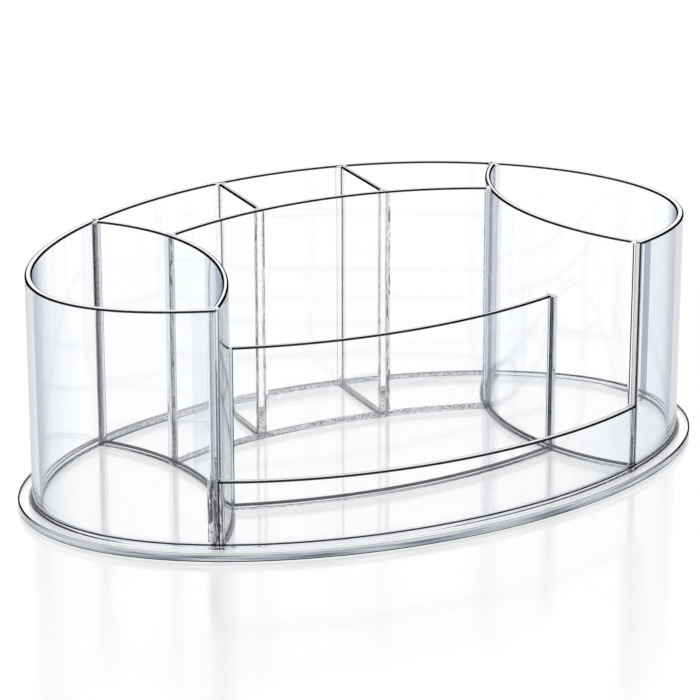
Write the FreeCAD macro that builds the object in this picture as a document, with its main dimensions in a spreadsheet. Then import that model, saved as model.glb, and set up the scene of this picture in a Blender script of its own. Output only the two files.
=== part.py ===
import FreeCAD, Part
import Sketcher
import os

# Clear vanity organizer. An oval base plate carries a bent outer wall in four panels: two tall ends,
# a tall back and a low front. Curved partitions and two short dividers make seven compartments.
# The frame: X along the oval, -Y to the front, Z up, origin under the middle of the base plate.

doc = FreeCAD.newDocument("vanity_organizer")
sheet = doc.addObject("Spreadsheet::Sheet", "sizes")

DRIVING_SIZES = (
    # the oval base plate, with a shelf left outside the wall
    ("base_length", 254.0),
    ("base_width", 152.0),
    ("base_thickness", 3.0),
    ("base_edge_round", 0.5),
    ("shelf_width", 5.0),
    # joints: each panel's foot stands in a groove, and butt joints keep a thin line of cement
    ("groove_depth", 1.0),
    ("bond_gap", 0.1),
    # outer wall, whose rim is arched: highest in the middle and lower at both tips of the oval
    ("wall_thickness", 2.5),
    ("rim_height", 88.7),
    ("rim_drop", 5.6),
    ("rim_round", 0.6),
    ("front_height", 26.7),
    # end partitions: arcs that bulge towards the middle
    ("partition_thickness", 2.0),
    ("partition_radius", 78.0),
    ("partition_apex", 59.5),
    # cross partitions: the tall one bulges to the back, the lower one to the front
    ("cross_thickness", 2.0),
    ("cross_radius", 190.0),
    ("cross_apex", 33.8),
    ("half_height", 61.0),
    # dividers of the three rear compartments
    ("divider_thickness", 1.8),
    ("divider_spacing", 48.8),
)
for row, (alias, value) in enumerate(DRIVING_SIZES, 1):
    sheet.set(f"A{row}", alias)
    sheet.set(f"B{row}", str(value))
    sheet.setAlias(f"B{row}", alias)
doc.recompute()

# Places that several pieces share, as formulas on the sheet. Panels stand on the seat, which is the
# groove's floor, and a rounding takes at most a share of its sheet.
SEAT = "(sizes.base_thickness - sizes.groove_depth)"
WALL_HALF_LENGTH = "(sizes.base_length / 2 - sizes.shelf_width)"
WALL_HALF_WIDTH = "(sizes.base_width / 2 - sizes.shelf_width)"
ARCH_RADIUS = f"(({WALL_HALF_LENGTH} ^ 2 + sizes.rim_drop ^ 2) / (2 * sizes.rim_drop))"
ARCH_REACH = "(2 * sizes.cross_radius + sizes.base_width)"
TALL = f"(sizes.rim_height + sizes.rim_drop - {SEAT})"
LOW = f"(sizes.front_height - {SEAT})"
HALF = f"(sizes.half_height - {SEAT})"
GROOVE = "(sizes.groove_depth + sizes.base_thickness)"
END_CENTRE = "(sizes.partition_apex + sizes.partition_radius)"
CROSS_CENTRE = "(sizes.cross_radius - sizes.cross_apex)"
FLUSH = "0"
GAP = "sizes.bond_gap"
ROUND_SHARE = 0.45
SIDES = ((-1, "left"), (1, "right"))
OUTWARDS = {-1: 180, 1: 0}
BACK = 1
FRONT = -1


def bind(item, expressions):
    """Bind properties of an object to formulas on the sheet."""
    for name, formula in expressions.items():
        item.setExpression(name, formula)
    return item


def oval(name, inset, height):
    """Upright oval solid on the seat, with its side the given inset inside the wall's outer face."""
    outline = bind(doc.addObject("Part::Ellipse", name + "_outline"), {
        "MajorRadius": f"{WALL_HALF_LENGTH} - ({inset})",
        "MinorRadius": f"{WALL_HALF_WIDTH} - ({inset})",
        "Placement.Base.z": SEAT,
    })
    solid = doc.addObject("Part::Extrusion", name)
    solid.Base = outline
    solid.DirMode = "Custom"
    solid.Dir = FreeCAD.Vector(0, 0, 1)
    solid.Solid = True
    return bind(solid, {"LengthFwd": height})


def drum(name, radius, x, y, turn, height):
    """Upright round solid on the seat, turned to keep its seam off the panels."""
    solid = doc.addObject("Part::Cylinder", name)
    solid.Placement.Rotation = FreeCAD.Rotation(FreeCAD.Vector(0, 0, 1), turn)
    return bind(solid, {
        "Radius": radius,
        "Height": height,
        "Placement.Base.x": x,
        "Placement.Base.y": y,
        "Placement.Base.z": SEAT,
    })


def half_plan(name, along, across, height):
    """Box over one half of the base: left or right along it, or back or front across it."""
    return bind(doc.addObject("Part::Box", name), {
        "Length": "sizes.base_length",
        "Width": "sizes.base_width",
        "Height": height,
        "Placement.Base.x": f"({along} - 1) * sizes.base_length / 2",
        "Placement.Base.y": f"({across} - 1) * sizes.base_width / 2",
        "Placement.Base.z": SEAT,
    })


def boolean(kind, name, base, tool):
    """Cut or common of two solids."""
    result = doc.addObject("Part::" + kind, name)
    result.Base = base
    result.Tool = tool
    return result


def fuse(name, solids):
    """Union of several solids."""
    result = doc.addObject("Part::MultiFuse", name)
    result.Shapes = solids
    return result


def wall_ring(name, grow, height):
    """The outer wall all round, grown on both faces."""
    outside = oval(name + "_outside", f"-{grow}", height)
    inside = oval(name + "_inside", f"sizes.wall_thickness + {grow}", height)
    return boolean("Cut", name, outside, inside)


def end_drum(name, side, grow, height):
    """Solid within the middle-facing side of an end partition, grown outwards."""
    radius = f"sizes.partition_radius + sizes.partition_thickness / 2 + {grow}"
    return drum(name, radius, f"{side} * {END_CENTRE}", "0", OUTWARDS[side], height)


def end_band(name, side, grow, height):
    """An end partition as a full ring, grown on both faces."""
    radius = f"sizes.partition_radius - sizes.partition_thickness / 2 - {grow}"
    core = drum(name + "_core", radius, f"{side} * {END_CENTRE}", "0", OUTWARDS[side], height)
    return boolean("Cut", name, end_drum(name + "_drum", side, grow, height), core)


def cross_drum(name, side, grow, height):
    """Solid within the bulging side of a cross partition, grown outwards."""
    radius = f"sizes.cross_radius + sizes.cross_thickness / 2 + {grow}"
    return drum(name, radius, "0", f"{-side} * {CROSS_CENTRE}", 0, height)


def cross_band(name, side, grow, height):
    """A cross partition as a full ring, grown on both faces."""
    radius = f"sizes.cross_radius - sizes.cross_thickness / 2 - {grow}"
    core = drum(name + "_core", radius, "0", f"{-side} * {CROSS_CENTRE}", 0, height)
    return boolean("Cut", name, cross_drum(name + "_drum", side, grow, height), core)


def divider_slab(name, side, grow, height):
    """A divider as a straight slab from the centre line to beyond the back wall, grown on both faces."""
    half = f"(sizes.divider_thickness / 2 + {grow})"
    return bind(doc.addObject("Part::Box", name), {
        "Length": f"2 * {half}",
        "Width": "sizes.base_width / 2",
        "Height": height,
        "Placement.Base.x": f"{side} * sizes.divider_spacing / 2 - {half}",
        "Placement.Base.z": SEAT,
    })


def rim_edges(shape, thickness):
    """Names of the long edges of the topmost face, which run along the sheet."""
    top = max(shape.Faces, key=lambda face: face.CenterOfMass.z)
    long_edges = [edge for edge in top.Edges if edge.Length > 2 * thickness]
    numbered = enumerate(shape.Edges, 1)
    return [f"Edge{number}" for number, edge in numbered if any(edge.isSame(rim) for rim in long_edges)]


def rounded(name, stock, thickness_alias):
    """A sheet with its rim rounded on both sides."""
    body = doc.addObject("PartDesign::Body", name)
    body.BaseFeature = stock
    doc.recompute()
    square = body.Tip
    rounding = body.newObject("PartDesign::Fillet", name + "_rim")
    rounding.Base = (square, rim_edges(square.Shape, sheet.get(thickness_alias)))
    bind(rounding, {"Radius": f"min(sizes.rim_round; {ROUND_SHARE} * sizes.{thickness_alias})"})
    body.Tip = rounding
    return body


nodes = []

# Base plate: an oval pad with eased edges, grooved where the panels stand
blank = doc.addObject("PartDesign::Body", "base_blank")
planes = {plane.Role: plane for plane in blank.Origin.OriginFeatures}
outline = blank.newObject("Sketcher::SketchObject", "base_outline")
outline.AttachmentSupport = [(planes["XY_Plane"], "")]
outline.MapMode = "FlatFace"
centre = FreeCAD.Vector(0, 0, 0)
edge = outline.addGeometry(Part.Ellipse(centre, sheet.base_length / 2, sheet.base_width / 2))
outline.exposeInternalGeometry(edge)
long_axis = edge + 1
short_axis = edge + 2
outline.addConstraint(Sketcher.Constraint("Coincident", edge, 3, -1, 1))
outline.addConstraint(Sketcher.Constraint("Horizontal", long_axis))
for axis, alias in ((long_axis, "base_length"), (short_axis, "base_width")):
    number = outline.addConstraint(Sketcher.Constraint("Distance", axis, sheet.get(alias)))
    outline.renameConstraint(number, alias)
    bind(outline, {f"Constraints.{alias}": f"sizes.{alias}"})
pad = blank.newObject("PartDesign::Pad", "base_pad")
pad.Profile = outline
bind(pad, {"Length": "sizes.base_thickness"})
doc.recompute()
easing = blank.newObject("PartDesign::Fillet", "base_easing")
easing.Base = (pad, [f"Edge{number}" for number, rim in enumerate(pad.Shape.Edges, 1) if rim.isClosed()])
bind(easing, {"Radius": f"min(sizes.base_edge_round; {ROUND_SHARE} * sizes.base_thickness)"})
blank.Tip = easing

field = oval("groove_field", "sizes.wall_thickness / 2", GROOVE)
field_ends = fuse("groove_ends", [end_drum(f"{word}_field", side, FLUSH, GROOVE) for side, word in SIDES])
field_middle = boolean("Cut", "groove_middle", field, field_ends)
field_rear = boolean("Cut", "groove_rear", field_middle, cross_drum("groove_mid", BACK, FLUSH, GROOVE))
grooves = [wall_ring("wall_groove", GAP, GROOVE)]
for side, word in SIDES:
    band = end_band(f"{word}_partition_foot", side, GAP, GROOVE)
    grooves.append(boolean("Common", f"{word}_partition_groove", band, field))
for side, word in ((BACK, "mid"), (FRONT, "half")):
    band = cross_band(f"{word}_partition_foot", side, GAP, GROOVE)
    grooves.append(boolean("Common", f"{word}_partition_groove", band, field_middle))
for side, word in SIDES:
    slab = divider_slab(f"{word}_divider_foot", side, GAP, GROOVE)
    grooves.append(boolean("Common", f"{word}_divider_groove", slab, field_rear))
base_plate = boolean("Cut", "base_plate", blank, fuse("grooves", grooves))
base_plate.Label = "base_plate"
nodes.append(base_plate)

# Arch of the rim: a wide roller lying along Y, whose top the tall sheets are cut to
arch = bind(doc.addObject("Part::Cylinder", "rim_arch"), {
    "Radius": ARCH_RADIUS,
    "Height": f"2 * {ARCH_REACH}",
    "Placement.Base.y": f"-{ARCH_REACH}",
    "Placement.Base.z": f"sizes.rim_height - {ARCH_RADIUS}",
})
arch.Placement.Rotation = FreeCAD.Rotation(FreeCAD.Vector(1, 0, 0), -90)

# Outer wall: halves of a tall ring and a low ring, parted by the faces of the two end partitions
tall_ring = boolean("Common", "tall_ring", wall_ring("tall_wall", FLUSH, TALL), arch)
low_ring = wall_ring("low_wall", FLUSH, LOW)
for side, word in SIDES:
    stock = boolean("Common", f"{word}_half", tall_ring, half_plan(f"{word}_plan", side, 0, TALL))
    half = rounded(f"{word}_half_ring", stock, "wall_thickness")
    nodes.append(boolean("Common", f"{word}_end_wall", half, end_drum(f"{word}_end", side, FLUSH, TALL)))
ends = fuse("ends", [end_drum(f"{word}_end_clear", side, GAP, TALL) for side, word in SIDES])
for side, word, ring in ((BACK, "back", tall_ring), (FRONT, "front", low_ring)):
    stock = boolean("Common", f"{word}_half", ring, half_plan(f"{word}_plan", 0, side, TALL))
    half = rounded(f"{word}_half_ring", stock, "wall_thickness")
    nodes.append(boolean("Cut", f"{word}_wall", half, ends))

# End partitions reach across the inside of the wall, a cement line away from it
inside = oval("inside", f"sizes.wall_thickness + {GAP}", TALL)
for side, word in SIDES:
    stock = boolean("Common", f"{word}_stock", end_band(f"{word}_band", side, FLUSH, TALL), arch)
    ring = rounded(f"{word}_partition_ring", stock, "partition_thickness")
    nodes.append(boolean("Common", f"{word}_partition", ring, inside))

# Cross partitions reach from one end partition to the other
middle = boolean("Cut", "middle", inside, ends)
mid_stock = boolean("Common", "mid_stock", cross_band("mid_band", BACK, FLUSH, TALL), arch)
for word, stock in (("mid", mid_stock), ("half", cross_band("half_band", FRONT, FLUSH, HALF))):
    ring = rounded(f"{word}_partition_ring", stock, "cross_thickness")
    nodes.append(boolean("Common", f"{word}_partition", ring, middle))

# Dividers reach from the tall cross partition to the back wall
rear = boolean("Cut", "rear", middle, cross_drum("rear_clear", BACK, GAP, TALL))
for side, word in SIDES:
    stock = boolean("Common", f"{word}_slab", divider_slab(f"{word}_block", side, FLUSH, TALL), arch)
    slab = rounded(f"{word}_divider_slab", stock, "divider_thickness")
    nodes.append(boolean("Common", f"{word}_divider", slab, rear))
doc.recompute()

# Every step has to have worked, and every piece has to be one sound solid, before anything is written
failed = [item.Label for item in doc.Objects if {"Invalid", "Error"} & set(item.State)]
if failed:
    raise RuntimeError("failed steps: " + ", ".join(failed))
for node in nodes:
    if node.Shape.isNull() or not node.Shape.isValid() or len(node.Shape.Solids) != 1:
        raise RuntimeError("unsound piece: " + node.Label)

os.makedirs("parts", exist_ok=True)
for node in nodes:
    node.Shape.exportStep(f"parts/{node.Label}.step")
    extent = node.Shape.optimalBoundingBox()
    print(node.Label, round(node.Shape.Volume), "mm3,", round(extent.XLength, 2), "x",
          round(extent.YLength, 2), "x", round(extent.ZLength, 2), "mm")
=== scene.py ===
import math

import bmesh
import bpy
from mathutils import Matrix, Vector
from mathutils.geometry import intersect_sphere_sphere_2d


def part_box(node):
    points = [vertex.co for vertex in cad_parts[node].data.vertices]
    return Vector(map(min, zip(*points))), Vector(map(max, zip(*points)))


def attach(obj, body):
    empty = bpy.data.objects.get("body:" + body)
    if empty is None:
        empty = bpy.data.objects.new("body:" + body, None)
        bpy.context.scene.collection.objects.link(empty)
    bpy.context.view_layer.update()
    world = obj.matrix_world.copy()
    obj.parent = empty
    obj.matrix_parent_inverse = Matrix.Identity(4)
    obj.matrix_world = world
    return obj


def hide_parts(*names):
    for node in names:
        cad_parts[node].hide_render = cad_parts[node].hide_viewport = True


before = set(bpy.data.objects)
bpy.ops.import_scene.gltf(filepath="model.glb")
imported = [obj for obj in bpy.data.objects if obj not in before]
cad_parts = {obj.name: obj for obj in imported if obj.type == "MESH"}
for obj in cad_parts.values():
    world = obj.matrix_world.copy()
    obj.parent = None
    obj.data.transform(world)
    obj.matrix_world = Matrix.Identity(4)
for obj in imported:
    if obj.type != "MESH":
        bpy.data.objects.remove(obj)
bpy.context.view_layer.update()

# Base plate: an oval sawn from clear acrylic sheet, with its two edges polished to a soft round.
# Every panel stands on it and is cemented to it, so its top face runs through under their feet.
MM = 0.001
BASE_EDGE_ROUND = 0.5 * MM
OVAL_STEPS = 720
ROUND_STEPS = 4
BASE_FACE, BASE_LOWER_ROUND, BASE_SIDE, BASE_UPPER_ROUND = range(4)
base_low, base_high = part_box("base_plate")
base_half_length = base_high.x
base_half_width = base_high.y
base_top = base_high.z


def linear(hex_colour):
    """A written sRGB colour as the linear RGBA that shaders take."""
    shares = [int(hex_colour[start:start + 2], 16) / 255 for start in (1, 3, 5)]
    return [c / 12.92 if c <= 0.04045 else ((c + 0.055) / 1.055) ** 2.4 for c in shares] + [1.0]


def add_node(tree, kind, settings=None, links=None, stops=()):
    """Add one node, set its properties, sockets and colour stops, and link other nodes' outputs to it."""
    node = tree.nodes.new(kind)
    for name, value in (settings or {}).items():
        if isinstance(name, int) or name in node.inputs:
            node.inputs[name].default_value = value
        else:
            setattr(node, name, value)
    for name, output in (links or {}).items():
        tree.links.new(output, node.inputs[name])
    while stops and len(node.color_ramp.elements) < len(stops):
        node.color_ramp.elements.new(1.0)
    for index, (position, colour) in enumerate(stops):
        node.color_ramp.elements[index].position = position
        node.color_ramp.elements[index].color = linear(colour)
    return node


def bare_material(name):
    """A new material without nodes, and its node tree."""
    material = bpy.data.materials.new(name)
    material.use_nodes = True
    material.node_tree.nodes.clear()
    return material, material.node_tree


# Clear acrylic: colourless sheet that bends light as glass does. Where it turns from the eye it is painted a
# cool grey and then black, which is painted shade that draws each turn as a dark line with a cool grey beside
# it. The drawn sheet has a faint ripple that makes what lies behind it waver.
RIPPLE_SPACING = 18 * MM
RIPPLE_HEIGHT = 0.006 * MM


def clear_acrylic(name, turning, painted_black_range, clearness=1.0):
    """Acrylic painted with the (facing, colour) stops, and then black, as painted shade where it turns from
    the eye.
    """
    material, tree = bare_material(name)
    place = add_node(tree, "ShaderNodeTexCoord")
    uneven = add_node(tree, "ShaderNodeTexNoise", {"Scale": 1 / RIPPLE_SPACING, "Detail": 1.0},
                      {"Vector": place.outputs["Object"]})
    waver = add_node(tree, "ShaderNodeBump", {"Distance": RIPPLE_HEIGHT}, {"Height": uneven.outputs["Fac"]})
    turned = add_node(tree, "ShaderNodeLayerWeight", {"Blend": 0.5})
    facing = turned.outputs["Facing"]
    painted_turn_shade = add_node(tree, "ShaderNodeValToRGB", None, {"Fac": facing}, turning)
    clear = add_node(tree, "ShaderNodeBsdfPrincipled", {
        "Roughness": 0.0,
        "IOR": 1.49,
        "Transmission Weight": clearness,
    }, {"Base Color": painted_turn_shade.outputs["Color"], "Normal": waver.outputs["Normal"]})
    grazing = add_node(tree, "ShaderNodeMapRange", {"From Min": painted_black_range[0], "From Max": painted_black_range[1]},
                       {"Value": facing})
    dark = add_node(tree, "ShaderNodeBsdfDiffuse", {"Color": linear("#000000")})
    body = add_node(tree, "ShaderNodeMixShader", None,
                    {"Fac": grazing.outputs["Result"], 1: clear.outputs[0], 2: dark.outputs[0]})
    let_through = add_node(tree, "ShaderNodeBsdfTransparent", {"Color": linear("#fefeff")})
    path = add_node(tree, "ShaderNodeLightPath")
    surface = add_node(tree, "ShaderNodeMixShader", None, {
        "Fac": path.outputs["Is Shadow Ray"],
        1: body.outputs[0],
        2: let_through.outputs[0],
    })
    add_node(tree, "ShaderNodeOutputMaterial", None, {"Surface": surface.outputs[0]})
    return material


# Base acrylic: painted shade greys it, and then blackens it, only where it turns far from the eye.
base_acrylic = clear_acrylic("clear_acrylic_base", [
    (0.0, "#ffffff"),
    (0.82, "#ffffff"),
    (0.90, "#d0d5e2"),
    (0.97, "#20242c"),
], (0.94, 0.99))

# Dark painted rounds: the flamed edges of the sheet, painted near black as painted shade for the dark line
# they draw where they send the eye's ray along inside the sheet.
dark_painted_round = clear_acrylic("polished_acrylic_round_painted_dark", [
    (0.0, "#15181e"),
    (0.6, "#0a0c10"),
], (-1.5, 0.6))

# Polished base round: the upper edge of the base plate, buffed and not flamed. It is painted shade: pale
# where it faces the eye and black where it turns away, at the ends of the oval.
base_round = clear_acrylic("polished_acrylic_base_round", [
    (0.0, "#f4f6fa"),
    (0.30, "#e4e8f0"),
    (0.42, "#a3abba"),
    (0.52, "#20242c"),
], (0.44, 0.56), clearness=0.15)

# Sawn edge: the side of the base plate, a cool grey-blue with fine drag lines from the saw along it.
DRAG_LENGTH = 26 * MM
DRAG_WIDTH = 0.6 * MM
sawn_edge, tree = bare_material("sawn_acrylic_edge")
place = add_node(tree, "ShaderNodeTexCoord")
along = add_node(tree, "ShaderNodeMapping", {"Scale": (1 / DRAG_LENGTH, 1 / DRAG_LENGTH, 1 / DRAG_WIDTH)},
                 {"Vector": place.outputs["Object"]})
drag = add_node(tree, "ShaderNodeTexNoise", {"Scale": 1.0, "Detail": 3.0}, {"Vector": along.outputs[0]})
drag_tint = add_node(tree, "ShaderNodeValToRGB", None, {"Fac": drag.outputs["Fac"]}, [
    (0.30, "#4a5262"),
    (0.48, "#bac2d0"),
    (0.68, "#f4f6fa"),
])
drag_lines = add_node(tree, "ShaderNodeBump", {"Distance": 0.02 * MM}, {"Height": drag.outputs["Fac"]})
sawn = add_node(tree, "ShaderNodeBsdfPrincipled", {
    "Roughness": 0.18,
    "IOR": 1.49,
    "Transmission Weight": 0.15,
}, {"Base Color": drag_tint.outputs["Color"], "Normal": drag_lines.outputs["Normal"]})
add_node(tree, "ShaderNodeOutputMaterial", None, {"Surface": sawn.outputs[0]})


def finish_piece(piece, node):
    """Smooth a piece's curves and let it stand for its node."""
    bpy.ops.object.shade_smooth_by_angle(angle=math.radians(35))
    weighting = piece.modifiers.new("even_shading", "WEIGHTED_NORMAL")
    weighting.keep_sharp = True
    bpy.ops.object.modifier_apply(modifier=weighting.name)
    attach(piece, "root")
    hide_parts(node)


bpy.ops.object.select_all(action="DESELECT")
bpy.ops.mesh.primitive_cylinder_add(
    vertices=OVAL_STEPS, radius=base_half_length, depth=base_top, location=(0, 0, base_top / 2))
oval_base = bpy.context.object
oval_base.name = "oval_base"
bpy.ops.object.transform_apply(location=True, rotation=False, scale=False)
bpy.ops.object.mode_set(mode="EDIT")
bpy.ops.mesh.select_all(action="SELECT")
bpy.ops.transform.resize(value=(1, base_half_width / base_half_length, 1))
bpy.ops.mesh.select_all(action="DESELECT")
bpy.ops.mesh.edges_select_sharp(sharpness=math.radians(60))
for material in (base_acrylic, dark_painted_round, sawn_edge, base_round):
    oval_base.data.materials.append(material)
bpy.ops.mesh.bevel(
    offset=BASE_EDGE_ROUND, segments=ROUND_STEPS, affect="EDGES", material=BASE_LOWER_ROUND)
bpy.ops.object.mode_set(mode="OBJECT")
for face in oval_base.data.polygons:
    if abs(face.normal.z) < 0.01:
        face.material_index = BASE_SIDE
    elif 0 < face.normal.z < 0.99:
        face.material_index = BASE_UPPER_ROUND
finish_piece(oval_base, "base_plate")

# End walls: two tall panels bent round the tips of the oval, cemented to the base 5 mm inside its edge.
# Their rims are polished round and follow an arch that is highest at the middle of the organizer. Solvent
# cement fills a small cove along each foot and joint.
SHELF = 5.0 * MM
WALL = 2.5 * MM
ARCH_DROP = 5.6 * MM
RIM_ROUND = 0.6 * MM
RIM_SLACK = 0.25 * MM
ROUND_SHARE = 0.45
COVE = 1.5 * MM
COVE_STEPS = 8
PALE_RIM = 0.75 * COVE
SLANT_SHADE_FROM = 4.0 * MM
SLANT_SHADE_TO = 8.5 * MM
RUN_ON_WALL = 4.0 * MM
RUN_ON_PARTITION = 3.0 * MM
BOND_OVERLAP = 0.3 * MM
FOOT_GAP = 0.02 * MM
GUARD_HEIGHT = 80 * MM
PARTITION = 2.0 * MM
PARTITION_RADIUS = 78.0 * MM
PARTITION_APEX = 59.5 * MM
OUTSIDE, INSIDE, ROUND, FLAT, BEAD, FILM, SEAM, SLANT_SHADE, RUN = range(9)
SIDES = ((-1, "left"), (1, "right"))
end_centre = PARTITION_APEX + PARTITION_RADIUS
rim_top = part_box("back_wall")[1].z
front_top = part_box("front_wall")[1].z
wall_half_length = base_half_length - SHELF
wall_half_width = base_half_width - SHELF
arch_radius = (wall_half_length ** 2 + ARCH_DROP ** 2) / (2 * ARCH_DROP)
cove_lines = [COVE * (1 - math.cos(math.pi / 2 * step / COVE_STEPS)) for step in range(COVE_STEPS + 1)]
bead_edge, bead_seam_edge, strip_edge, film_edge, seam_edge = cove_lines[3:8]

# Wall and partition acrylic: painted shade greys the sheet as it turns from the eye, sooner on the thicker
# wall sheet and later on the thinner partition sheet, which the inner faces of the walls take too.
wall_acrylic = clear_acrylic("clear_acrylic_wall", [
    (0.0, "#ffffff"),
    (0.25, "#fcfdfe"),
    (0.45, "#e0e5ea"),
    (0.60, "#d0d6de"),
    (0.70, "#b9c0cb"),
    (0.82, "#8d94a2"),
    (0.95, "#5c6372"),
], (0.97, 1.1))
partition_acrylic = clear_acrylic("clear_acrylic_partition", [
    (0.0, "#ffffff"),
    (0.62, "#fbfdff"),
    (0.72, "#c5cbd9"),
    (0.82, "#8089a0"),
    (0.95, "#4c5464"),
], (0.97, 1.1))

# Painted white flat: the flat between two polished rounds, scraped but not flamed, and painted white as a
# painted reflection of the white surround.
SCRAPE = 1.5 * MM
painted_white_flat, tree = bare_material("scraped_acrylic_edge_painted_white")
place = add_node(tree, "ShaderNodeTexCoord")
scrape = add_node(tree, "ShaderNodeTexNoise", {"Scale": 1 / SCRAPE, "Detail": 2.0},
                  {"Vector": place.outputs["Object"]})
scraped = add_node(tree, "ShaderNodeBump", {"Distance": 0.01 * MM}, {"Height": scrape.outputs["Fac"]})
painted_white_shader = add_node(tree, "ShaderNodeBsdfPrincipled", {
    "Base Color": linear("#fbfcff"),
    "Roughness": 0.3,
    "IOR": 1.49,
    "Transmission Weight": 0.05,
}, {"Normal": scraped.outputs["Normal"]})
add_node(tree, "ShaderNodeOutputMaterial", None, {"Surface": painted_white_shader.outputs[0]})

# Cement bead: what was squeezed out along the foot of a panel. It set with fine grains, so it sparkles from
# white to grey.
BEAD_GRAIN = 0.7 * MM
cement_bead, tree = bare_material("solvent_cement_bead")
place = add_node(tree, "ShaderNodeTexCoord")
grain = add_node(tree, "ShaderNodeTexNoise", {"Scale": 1 / BEAD_GRAIN, "Detail": 2.0},
                 {"Vector": place.outputs["Object"]})
speckle = add_node(tree, "ShaderNodeValToRGB", None, {"Fac": grain.outputs["Fac"]}, [
    (0.42, "#848c9b"),
    (0.52, "#ffffff"),
])
grains = add_node(tree, "ShaderNodeBump", {"Distance": 0.08 * MM}, {"Height": grain.outputs["Fac"]})
bead = add_node(tree, "ShaderNodeBsdfPrincipled", {
    "Roughness": 0.2,
    "IOR": 1.49,
    "Transmission Weight": 0.7,
}, {"Base Color": speckle.outputs["Color"], "Normal": grains.outputs["Normal"]})
add_node(tree, "ShaderNodeOutputMaterial", None, {"Surface": bead.outputs[0]})

# Cement film: the thin layer between joined faces, which shows through the clear sheet as a cool grey band.
cement_film = clear_acrylic("solvent_cement_film", [
    (0.0, "#e9ebf2"),
    (0.9, "#d6d9e4"),
], (0.98, 1.2))

# Slant shade strip: a band behind the front end of an end wall and on the right end's outer round. It is
# painted shade, pale face on and dark at a slant.
slant_shade_strip = clear_acrylic("painted_slant_shade_strip", [
    (0.0, "#f2f4f8"),
    (0.07, "#d9dde5"),
    (0.14, "#6a7286"),
    (0.90, "#5c6376"),
], (0.98, 1.2))

# Cement run: a thick tear of cement in the low left corner behind the front wall and up the front joints of
# the dividers, with dark and bright streaks.
RUN_STREAK = (1.1 * MM, 1.1 * MM, 8.0 * MM)
cement_run, tree = bare_material("solvent_cement_run")
place = add_node(tree, "ShaderNodeTexCoord")
along = add_node(tree, "ShaderNodeMapping", {"Scale": [1 / length for length in RUN_STREAK]},
                 {"Vector": place.outputs["Object"]})
streak = add_node(tree, "ShaderNodeTexNoise", {"Scale": 1.0, "Detail": 2.0, "Distortion": 1.2},
                  {"Vector": along.outputs[0]})
streaks = add_node(tree, "ShaderNodeValToRGB", None, {"Fac": streak.outputs["Fac"]}, [
    (0.45, "#1a1d24"),
    (0.49, "#ffffff"),
    (0.57, "#b4bac6"),
])
tears = add_node(tree, "ShaderNodeBump", {"Distance": 0.3 * MM}, {"Height": streak.outputs["Fac"]})
run = add_node(tree, "ShaderNodeBsdfPrincipled", {
    "Roughness": 0.05,
    "IOR": 1.49,
    "Transmission Weight": 0.9,
}, {"Base Color": streaks.outputs["Color"], "Normal": tears.outputs["Normal"]})
add_node(tree, "ShaderNodeOutputMaterial", None, {"Surface": run.outputs[0]})


def arch(x):
    """Height of the arched rim at a place along the organizer."""
    return rim_top - arch_radius + math.sqrt(arch_radius ** 2 - x ** 2)


def on_oval(inset, centre, radius):
    """Where an oval, inset from the wall's outer face, meets a drum on the long axis: right rear point."""
    a = wall_half_length - inset
    b = wall_half_width - inset
    spread = a ** 2 - b ** 2
    root = math.sqrt((a * centre) ** 2 - spread * (centre ** 2 + b ** 2 - radius ** 2))
    share = (a * centre - root) / spread
    return Vector((a * share, b * math.sqrt(1 - share ** 2), 0))


def oval_normal(point, inset):
    """Outward direction of that inset oval at a point."""
    a = wall_half_length - inset
    b = wall_half_width - inset
    return Vector((point.x / a ** 2, point.y / b ** 2, 0)).normalized()


def mirrored(vector, along, across):
    """A level vector of the right rear quarter, turned over into the quarter that the two signs name."""
    return Vector((vector.x * along, vector.y * across, 0))


def saw(point, keep):
    """Cut the sheet that is being edited, keeping the side that the direction names."""
    bpy.ops.mesh.select_all(action="SELECT")
    bpy.ops.mesh.bisect(plane_co=point, plane_no=keep, clear_inner=True)


def score(point, across):
    """Add a line across the sheet that is being edited."""
    bpy.ops.mesh.select_all(action="SELECT")
    bpy.ops.mesh.bisect(plane_co=point, plane_no=across)


def bent_sheet(name, steps, radius, centre):
    """Start a sheet as a round line just above the base, left in edit mode."""
    bpy.ops.object.select_all(action="DESELECT")
    bpy.ops.mesh.primitive_circle_add(
        vertices=steps, radius=radius, location=(centre[0], centre[1], base_top + FOOT_GAP))
    sheet = bpy.context.object
    sheet.name = name
    bpy.ops.object.transform_apply(location=True, rotation=False, scale=False)
    bpy.ops.object.mode_set(mode="EDIT")
    return sheet


def oval_sheet(name):
    """Start a wall sheet as the oval line at the middle of the wall's thickness."""
    sheet = bent_sheet(name, OVAL_STEPS, wall_half_length - WALL / 2, (0, 0))
    bpy.ops.mesh.select_all(action="SELECT")
    squeeze = (wall_half_width - WALL / 2) / (wall_half_length - WALL / 2)
    bpy.ops.transform.resize(value=(1, squeeze, 1))
    return sheet


def raise_sheet(top):
    """Draw the line up into a sheet, with lines where its foot flares and below its rim."""
    bpy.ops.mesh.select_all(action="SELECT")
    bpy.ops.mesh.extrude_edges_move(
        TRANSFORM_OT_translate={"value": (0, 0, top - base_top - FOOT_GAP)})
    for reach in cove_lines:
        score((0, 0, base_top + reach), (0, 0, 1))
    if top == rim_top:
        score((0, 0, GUARD_HEIGHT), (0, 0, 1))


def nearest_joint(place, joints):
    """How far a place on a sheet is from the base or the nearest wall that the sheet is cemented to."""
    reaches = [place.z - base_top]
    for point, inward in joints:
        flat = Vector((place.x - point.x, place.y - point.y, 0))
        reaches.append(flat.dot(inward))
    return min(reaches)


def on_rim(vertices, top):
    """Whether all these vertices lie along the top of a sheet."""
    return all(vertex.co.z > min(top, arch(vertex.co.x)) - RIM_SLACK for vertex in vertices)


def on_end(vertices, open_end):
    """Whether all these vertices lie on the free end of a sheet, above the cove at its foot."""
    if open_end is None:
        return False
    point, along = open_end
    return all(
        abs((vertex.co - point).dot(along)) < RIM_SLACK and vertex.co.z > base_top + COVE - RIM_SLACK
        for vertex in vertices)


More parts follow.
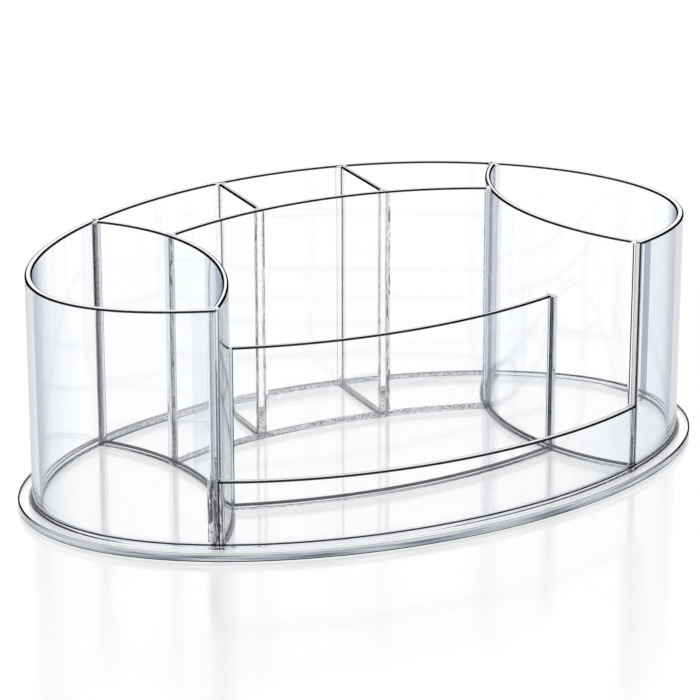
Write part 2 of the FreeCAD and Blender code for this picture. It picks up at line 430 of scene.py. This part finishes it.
def thicken(sheet, thickness, joints, arc_centre):
    """Give a sheet its thickness, flared into coves at its foot and joints."""
    widest = thickness + 2 * COVE
    flare = sheet.vertex_groups.new(name="thickness")
    for vertex in sheet.data.vertices:
        reach = min(max(nearest_joint(vertex.co, joints), 0), COVE)
        cove = COVE - math.sqrt(COVE ** 2 - (COVE - reach) ** 2)
        flared = thickness + 2 * cove
        # Above the front wall an end partition has a cove on its hollow side only.
        if arc_centre and vertex.co.y < 0 and vertex.co.z > front_top - RIM_SLACK:
            flared = thickness + cove
            vertex.co += (arc_centre - vertex.co).to_2d().normalized().to_3d() * cove / 2
        flare.add([vertex.index], flared / widest, "REPLACE")
    build = sheet.modifiers.new("thickness", "SOLIDIFY")
    build.thickness = widest
    build.offset = 0
    build.use_even_offset = False
    build.vertex_group = flare.name
    build.thickness_vertex_group = 0
    bpy.ops.object.modifier_apply(modifier=build.name)
    sheet.vertex_groups.clear()


def lay_cement(face, top, joints, film, seam, open_end):
    """Tell the faces of a thick sheet apart: rim, ends, cemented faces, beads, seams and the two sides."""
    place = face.calc_center_median()
    reach = nearest_joint(place, joints)
    outwards = face.normal.dot(oval_normal(place, 0))
    height = place.z - base_top
    at_foot = reach == height
    at_end = on_end(face.verts, open_end) and place.z > front_top
    seam_from = seam_edge
    if at_foot:
        seam_from = bead_seam_edge if seam == cement_bead else film_edge
    # Rim tops and the right free end take the painted white flat, while the left free end stays clear:
    # painted light on the right end only.
    if on_rim(face.verts, top) or at_end and place.x > 0:
        face.material_index = FLAT
    elif at_end or face.normal.z < -0.5 and height < 2 * FOOT_GAP:
        face.material_index = INSIDE
    elif height > 0 and (reach < 0 or abs(outwards) < 0.5 and not joints):
        face.material_index = FILM
    elif seam_from < reach < COVE:
        face.material_index = SEAM if joints or outwards > 0 or seam == cement_bead else FILM
    elif at_foot and 0 < reach < bead_edge:
        face.material_index = BEAD
    elif film == cement_film and 0 < reach < film_edge:
        face.material_index = FILM
    # Inner faces take the partition acrylic, whose painted shade greys them later as they turn.
    elif outwards < 0:
        face.material_index = INSIDE
    if open_end and outwards < 0 and reach > COVE:
        from_end = (place - open_end[0]).to_2d().length
        # A band of the inner face behind the front end takes the painted slant shade.
        if place.z > front_top and SLANT_SHADE_FROM < from_end < SLANT_SHADE_TO:
            face.material_index = SLANT_SHADE
        if place.z < front_top and place.x < 0 and from_end < RUN_ON_WALL:
            face.material_index = RUN


def lay_partition_cement(face, joints, arc_centre):
    """Where an end partition meets the wall: clear, a seam on its bulging side, and the run at the left."""
    place = face.calc_center_median()
    reach = nearest_joint(place, joints)
    height = place.z - base_top
    at_foot = reach == height
    bulging = face.normal.dot(place - arc_centre) > 0
    front_point, front_inward = joints[0]
    from_front = front_inward.dot(place - front_point)
    if place.y > 0 and reach > 0 and not at_foot:
        if face.material_index == FILM:
            face.material_index = INSIDE
        elif face.material_index == SEAM and not bulging:
            face.material_index = FILM
    if place.y < 0 and height > 0:
        if face.material_index in (FILM, SEAM) and not at_foot:
            face.material_index = INSIDE
        # On the right, a strip of the bulging face beside the front joint takes the painted dark round: a
        # painted shade strip.
        if bulging and place.z > front_top and place.x > 0 and 0 < from_front < strip_edge:
            face.material_index = ROUND
        if bulging and place.z < front_top and place.x < 0 and 0 < from_front < RUN_ON_PARTITION:
            face.material_index = RUN


def panel(sheet, thickness, top, joints, node, acrylic, film, seam, open_end=None, arc_centre=None):
    """Make a raised sheet into a panel: arched rim, thickness, coves, cement and rounds on free edges."""
    bpy.ops.object.mode_set(mode="OBJECT")
    for material in (
            acrylic, partition_acrylic, dark_painted_round, painted_white_flat,
            cement_bead, film, seam, slant_shade_strip, cement_run):
        sheet.data.materials.append(material)
    if top == rim_top:
        for vertex in sheet.data.vertices:
            if vertex.co.z > (GUARD_HEIGHT + rim_top) / 2:
                vertex.co.z = arch(vertex.co.x)
    thicken(sheet, thickness, joints, arc_centre)
    bpy.ops.object.mode_set(mode="EDIT")
    bpy.ops.mesh.select_all(action="SELECT")
    bpy.ops.mesh.normals_make_consistent(inside=False)
    bpy.ops.mesh.select_all(action="DESELECT")
    bpy.ops.mesh.select_mode(type="EDGE")
    bpy.ops.mesh.edges_select_sharp(sharpness=math.radians(60))
    edited = bmesh.from_edit_mesh(sheet.data)
    for edge in edited.edges:
        free = on_rim(edge.verts, top) or on_end(edge.verts, open_end)
        bonded = all(nearest_joint(vertex.co, joints) < -BOND_OVERLAP / 2 for vertex in edge.verts)
        edge.select_set(edge.select and free and not bonded)
    for face in edited.faces:
        lay_cement(face, top, joints, film, seam, open_end)
        if arc_centre:
            lay_partition_cement(face, joints, arc_centre)
    bmesh.update_edit_mesh(sheet.data)
    bpy.ops.mesh.bevel(
        offset=min(RIM_ROUND, ROUND_SHARE * thickness), segments=ROUND_STEPS, affect="EDGES", material=ROUND)
    bpy.ops.mesh.select_mode(type="VERT")
    bpy.ops.object.mode_set(mode="OBJECT")
    for face in sheet.data.polygons:
        # At the free ends the side rounds are painted by side: clear on the left, and on the right painted
        # slant shade outside and painted white inside.
        if open_end and face.material_index == ROUND and face.center.z > front_top:
            if abs((face.center - open_end[0]).dot(open_end[1])) < RIM_ROUND and abs(face.normal.z) < 0.2:
                outer = face.normal.dot(oval_normal(face.center, 0)) > 0
                face.material_index = INSIDE if face.center.x < 0 else SLANT_SHADE if outer else FLAT
        at_rim = face.center.z > min(top, arch(face.center.x)) - RIM_ROUND
        if joints and at_rim and nearest_joint(face.center, joints) < PALE_RIM:
            face.material_index = FLAT
    finish_piece(sheet, node)


corner = on_oval(WALL / 2, end_centre, PARTITION_RADIUS + PARTITION / 2)
to_middle = (corner - Vector((end_centre, 0, 0))).normalized()
for side, word in SIDES:
    sheet = oval_sheet(f"{word}_end_panel")
    for across in (-1, 1):
        saw(mirrored(corner, side, across), mirrored(-to_middle, side, across))
    raise_sheet(rim_top)
    score((0, 0, front_top), (0, 0, 1))
    free_end = mirrored(corner, side, -1)
    square = oval_normal(free_end, WALL / 2)
    open_end = (free_end, Vector((-square.y, square.x, 0)))
    panel(sheet, WALL, rim_top, [], f"{word}_end_wall", wall_acrylic, cement_film, dark_painted_round, open_end)

# Back wall and low front wall: the long sides of the oval, bent from the same sheet, which close the ring
# between the two ends. They are cemented to the ends of the end walls, and the front one stops low, so that
# hands reach the open compartment.
# The front wall's seams along its foot take the painted dark round, which draws a painted shade line there.
for side, word, top, seam in ((1, "back", rim_top, cement_bead), (-1, "front", front_top, dark_painted_round)):
    sheet = oval_sheet(f"{word}_panel")
    saw(Vector((0, 0, 0)), Vector((0, side, 0)))
    for along in (-1, 1):
        inward = mirrored(to_middle, along, side)
        saw(mirrored(corner, along, side) - inward * BOND_OVERLAP, inward)
    raise_sheet(top)
    panel(sheet, WALL, top, [], f"{word}_wall", wall_acrylic, cement_film, seam)

# End partitions: thinner acrylic sheets bent to an arc that bulges towards the middle. Their two ends are
# cemented to the inside of the wall, and they close the compartments at the tips of the oval.
PARTITION_STEPS = 360
for side, word in SIDES:
    sheet = bent_sheet(f"{word}_arc_panel", PARTITION_STEPS, PARTITION_RADIUS, (side * end_centre, 0))
    saw(Vector((side * end_centre, 0, 0)), Vector((-side, 0, 0)))
    seat = on_oval(WALL, end_centre, PARTITION_RADIUS)
    joints = []
    for across in (-1, 1):
        point = mirrored(seat, side, across)
        joints.append((point, -oval_normal(point, WALL)))
    for point, inward in joints:
        saw(point - inward * BOND_OVERLAP, inward)
    raise_sheet(rim_top)
    for point, inward in joints:
        for reach in cove_lines:
            score(point + inward * reach, inward)
    score((0, 0, front_top), (0, 0, 1))
    score((0, 0, front_top - RIM_ROUND), (0, 0, 1))
    arc_centre = Vector((side * end_centre, 0, 0))
    panel(
        sheet, PARTITION, rim_top, joints, f"{word}_partition",
        partition_acrylic, cement_film, dark_painted_round, arc_centre=arc_centre)

# Cross partitions: two more bent sheets. The tall one bulges to the back and the half-height one to the
# front. Both are cemented to the faces of the end partitions.
CROSS = 2.0 * MM
CROSS_RADIUS = 190.0 * MM
CROSS_APEX = 33.8 * MM
CROSS_STEPS = 768
cross_centre = CROSS_RADIUS - CROSS_APEX
partition_face = PARTITION_RADIUS + PARTITION / 2
half_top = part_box("half_partition")[1].z
# The half partition's seams take the painted dark round, a painted shade line, and the mid one's take the
# cement bead.
for side, word, top, seam in ((1, "mid", rim_top, cement_bead), (-1, "half", half_top, dark_painted_round)):
    centre = Vector((0, -side * cross_centre, 0))
    sheet = bent_sheet(f"{word}_cross_panel", CROSS_STEPS, CROSS_RADIUS, centre)
    saw(centre, Vector((0, side, 0)))
    joints = []
    for along in (-1, 1):
        end = Vector((along * end_centre, 0, 0))
        meets = intersect_sphere_sphere_2d(centre.xy, CROSS_RADIUS, end.xy, partition_face)
        point = max(meets, key=lambda meet: meet.y * side).to_3d()
        joints.append((point, (point - end).normalized()))
    for point, inward in joints:
        saw(point - inward * BOND_OVERLAP, inward)
    raise_sheet(top)
    for point, inward in joints:
        for reach in cove_lines:
            score(point + inward * reach, inward)
    panel(sheet, CROSS, top, joints, f"{word}_partition", partition_acrylic, cement_film, seam)

# Dividers: two flat panels, sawn from the thinnest sheet, that part the rear space in three. They are
# cemented between the tall cross partition and the back wall, with a run of cement up the front joint.
DIVIDER = 1.8 * MM
DIVIDER_SPACING = 48.8 * MM
for side, word in SIDES:
    x = side * DIVIDER_SPACING / 2
    front_face = CROSS_RADIUS + CROSS / 2
    front = Vector((x, math.sqrt(front_face ** 2 - x ** 2) - cross_centre, 0))
    inner_length = wall_half_length - WALL
    inner_width = wall_half_width - WALL
    back = Vector((x, inner_width * math.sqrt(1 - (x / inner_length) ** 2), 0))
    joints = [
        (front, (front + Vector((0, cross_centre, 0))).normalized()),
        (back, -oval_normal(back, WALL)),
    ]
    low = base_top + FOOT_GAP
    bpy.ops.object.select_all(action="DESELECT")
    bpy.ops.mesh.primitive_plane_add(
        size=2 * rim_top, location=(x, back.y, low), rotation=(0, math.pi / 2, 0))
    sheet = bpy.context.object
    sheet.name = f"{word}_rear_divider"
    bpy.ops.object.transform_apply(location=True, rotation=True, scale=False)
    bpy.ops.object.mode_set(mode="EDIT")
    saw(Vector((0, 0, low)), Vector((0, 0, 1)))
    saw(Vector((0, 0, rim_top)), Vector((0, 0, -1)))
    for point, inward in joints:
        saw(point - inward * BOND_OVERLAP, inward)
        for reach in cove_lines:
            score(point + inward * reach, inward)
    for reach in cove_lines:
        score((0, 0, base_top + reach), (0, 0, 1))
    score((0, 0, GUARD_HEIGHT), (0, 0, 1))
    panel(
        sheet, DIVIDER, rim_top, joints, f"{word}_divider",
        partition_acrylic, partition_acrylic, cement_bead)
    front_point, front_inward = joints[0]
    for face in sheet.data.polygons:
        from_front = front_inward.dot(face.center - front_point)
        if 0 < from_front < COVE and base_top + COVE < face.center.z < arch(x) - RIM_ROUND:
            face.material_index = RUN

# Floor: a plain table top in white gloss laminate, wide enough to fill the view.
# It shows white to the eye, holds the organizer's soft shadow, and its gloss gives a faint mirror image.
WHITE_LEVEL = 0.97
SHADOW_DEPTH = 0.06
BOUNCED_LIGHT = 0.7
bpy.ops.object.select_all(action="DESELECT")
bpy.ops.mesh.primitive_plane_add(size=60, location=(0, 0, -0.3 * MM))
floor = bpy.context.object
floor.name = "floor"
white, tree = bare_material("white_gloss_laminate")
path = add_node(tree, "ShaderNodeLightPath")
seen = add_node(tree, "ShaderNodeMath", {"operation": "ADD"},
                {0: path.outputs["Is Camera Ray"], 1: path.outputs["Is Glossy Ray"]})
seen_through = add_node(tree, "ShaderNodeMath", {"operation": "ADD", "use_clamp": True},
                        {0: seen.outputs[0], 1: path.outputs["Is Transmission Ray"]})
level = add_node(tree, "ShaderNodeMath", {"operation": "MULTIPLY", 1: WHITE_LEVEL},
                 {0: seen_through.outputs[0]})
glow = add_node(tree, "ShaderNodeEmission", {"Color": linear("#ffffff")}, {"Strength": level.outputs[0]})
bounce = add_node(tree, "ShaderNodeMath", {"operation": "MULTIPLY_ADD", 1: BOUNCED_LIGHT, 2: SHADOW_DEPTH},
                  {0: path.outputs["Is Diffuse Ray"]})
paint = add_node(tree, "ShaderNodeBsdfDiffuse", None, {"Color": bounce.outputs[0]})
ground = add_node(tree, "ShaderNodeAddShader", None, {0: glow.outputs[0], 1: paint.outputs[0]})
gloss = add_node(tree, "ShaderNodeBsdfGlossy", {"Color": linear("#ffffff"), "Roughness": 0.15})
top_coat = add_node(tree, "ShaderNodeMixShader", {"Fac": 0.27}, {1: ground.outputs[0], 2: gloss.outputs[0]})
add_node(tree, "ShaderNodeOutputMaterial", None, {"Surface": top_coat.outputs[0]})
floor.data.materials.append(white)

# Studio: an even white surround, which lights the organizer softly from every side.
# The camera stands at the view of the picture, with the long lens that was fitted to it.
world = bpy.data.worlds.new("studio")
world.use_nodes = True
world.node_tree.nodes.clear()
surround = add_node(world.node_tree, "ShaderNodeBackground", {"Color": linear("#ffffff"), "Strength": 1.0})
add_node(world.node_tree, "ShaderNodeOutputWorld", None, {"Surface": surround.outputs[0]})

CAMERA_PLACE = Vector((-478.5, -967.6, 436.2)) * MM
azimuth = math.radians(26.07)
elevation = math.radians(20.04)
look = Vector((
    math.sin(azimuth) * math.cos(elevation),
    math.cos(azimuth) * math.cos(elevation),
    -math.sin(elevation),
))
camera_data = bpy.data.cameras.new("camera")
camera_data.lens = 168.6
camera_data.sensor_width = 36
camera = bpy.data.objects.new("camera", camera_data)
camera.location = CAMERA_PLACE
camera.rotation_euler = look.to_track_quat("-Z", "Y").to_euler()

scene = bpy.context.scene
scene.collection.objects.link(camera)
scene.camera = camera
scene.world = world
scene.view_settings.view_transform = "Standard"
scene.cycles.max_bounces = 24
scene.cycles.transmission_bounces = 24
scene.cycles.glossy_bounces = 12
scene.cycles.transparent_max_bounces = 32
